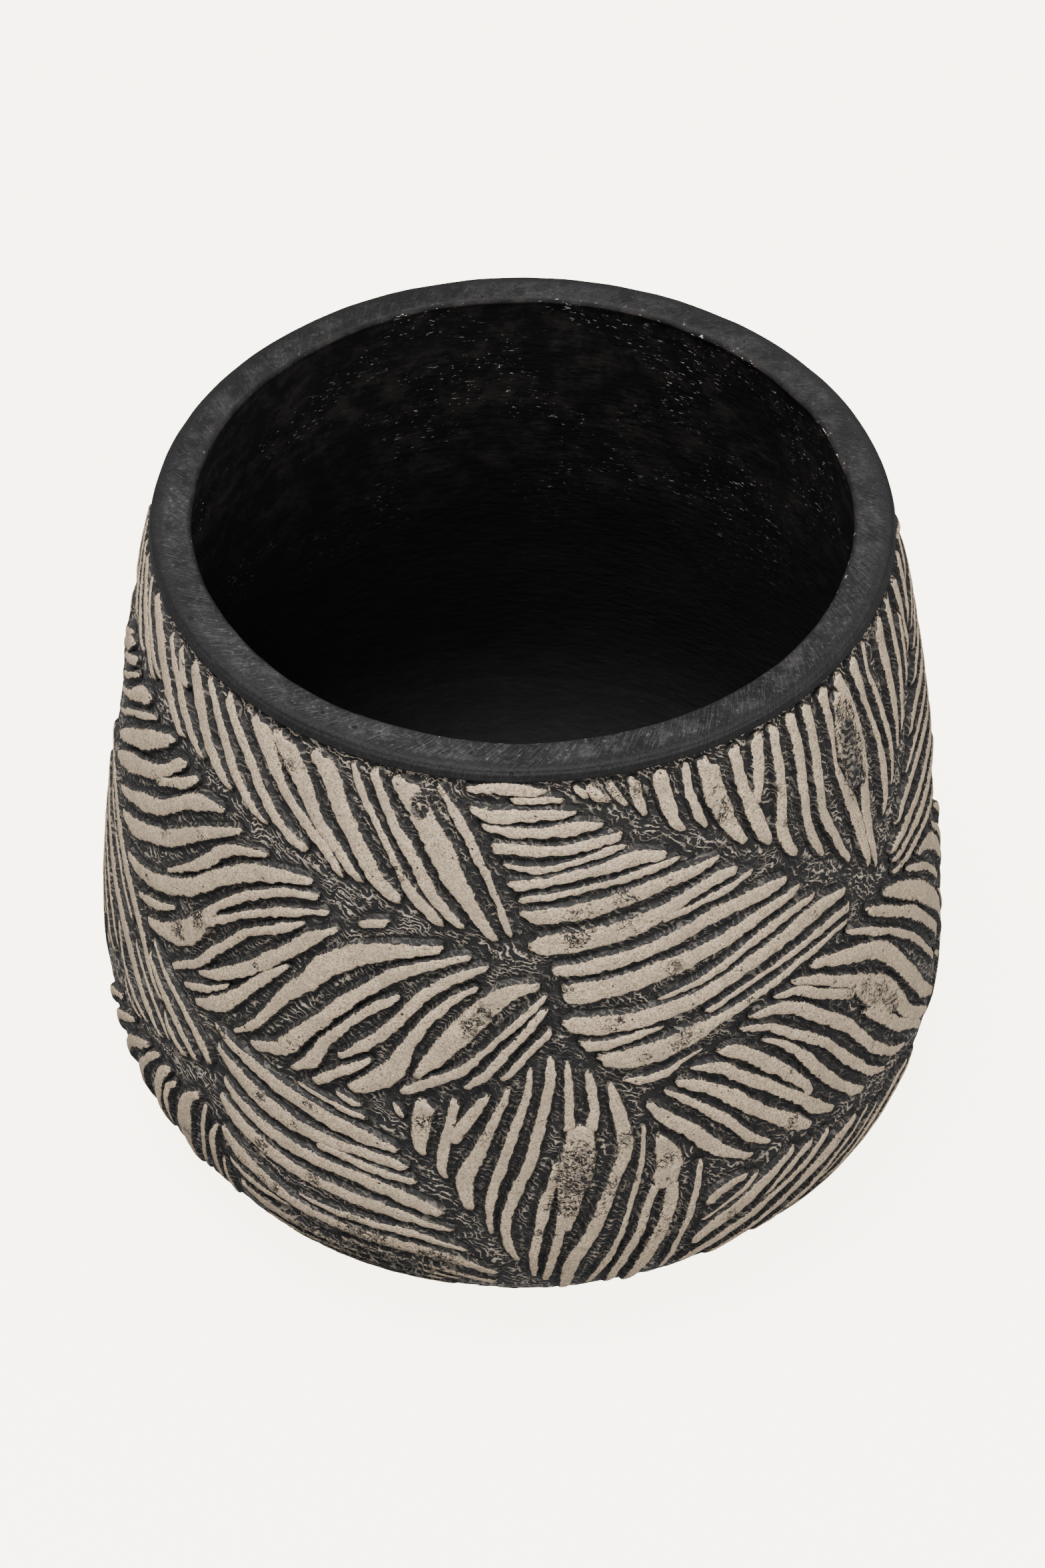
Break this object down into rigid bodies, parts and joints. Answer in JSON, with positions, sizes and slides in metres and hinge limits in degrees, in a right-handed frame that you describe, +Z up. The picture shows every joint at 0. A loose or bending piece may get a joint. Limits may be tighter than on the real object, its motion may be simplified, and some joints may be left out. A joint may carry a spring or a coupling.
{
  "type": "clay pot",
  "caption": "Round-bellied black clay plant pot with a wide open mouth and carved leaf panels of pale slip on its outer wall.",
  "frame": {"origin": "centre of the foot, on the surface the pot stands on", "axes": "+Z up along the pot's axis, out of its mouth; -Y is the side with the tall centre fan panel"},
  "size_m": [0.1899, 0.19, 0.164],
  "materials": {
    "black_clay": "burnished matte",
    "cream_slip": "matte, sandy"
  },
  "bodies": {
    "root": {"floor_slab": "black_clay", "foot_wall": "black_clay", "belly_wall": "black_clay", "shoulder_wall": "black_clay", "neck_wall": "black_clay", "rim_coil": "black_clay", "slip_top_left": "cream_slip", "slip_top_fan": "cream_slip", "slip_top_right": "cream_slip", "slip_mid_left": "cream_slip", "slip_mid_centre": "cream_slip", "slip_low_far_left": "cream_slip", "slip_low_left": "cream_slip", "slip_low_centre": "cream_slip", "slip_low_right": "cream_slip", "slip_foot_left": "cream_slip", "slip_foot_right": "cream_slip", "slip_right_fan": "cream_slip", "slip_sliver": "cream_slip", "slip_back_top_right": "cream_slip", "slip_back_top_fan": "cream_slip", "slip_back_top_left": "cream_slip", "slip_back_mid_right": "cream_slip", "slip_back_mid_centre": "cream_slip", "slip_back_mid_left": "cream_slip", "slip_back_low_right": "cream_slip", "slip_back_low_centre": "cream_slip", "slip_back_low_middle": "cream_slip", "slip_back_low_left": "cream_slip", "slip_back_foot_right": "cream_slip", "slip_back_foot_left": "cream_slip"}
  },
  "joints": []
}
